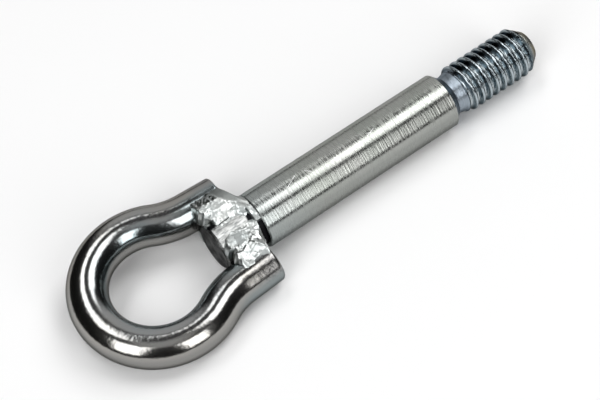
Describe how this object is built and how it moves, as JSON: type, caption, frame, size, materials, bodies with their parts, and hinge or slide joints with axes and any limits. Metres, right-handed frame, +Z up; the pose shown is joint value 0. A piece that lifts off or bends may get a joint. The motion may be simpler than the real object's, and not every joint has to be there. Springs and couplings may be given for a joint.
{
  "type": "tow eye",
  "caption": "Screw-in tow eye: a bent round-bar ring welded to a turned steel shaft that ends in a coarse screw thread.",
  "frame": {"origin": "centre of the box round the part, on the floor it lies on", "axes": "+X from the eye along the shaft to the screw end, +Z up from the floor, the ring rolled so that its -Y side touches the floor"},
  "size_m": [0.1854, 0.0588, 0.0202],
  "materials": {
    "shaft_steel": "turned steel under bright zinc plate, satin round the shank",
    "ring_steel": "smooth drawn bar under bright zinc plate, glossy",
    "weld_metal": "rough weld bead under bright zinc plate"
  },
  "bodies": {
    "root": {"shaft": "shaft_steel", "ring": "ring_steel", "upper_left_weld": "weld_metal", "upper_right_weld": "weld_metal", "lower_left_weld": "weld_metal", "lower_right_weld": "weld_metal"}
  },
  "joints": []
}
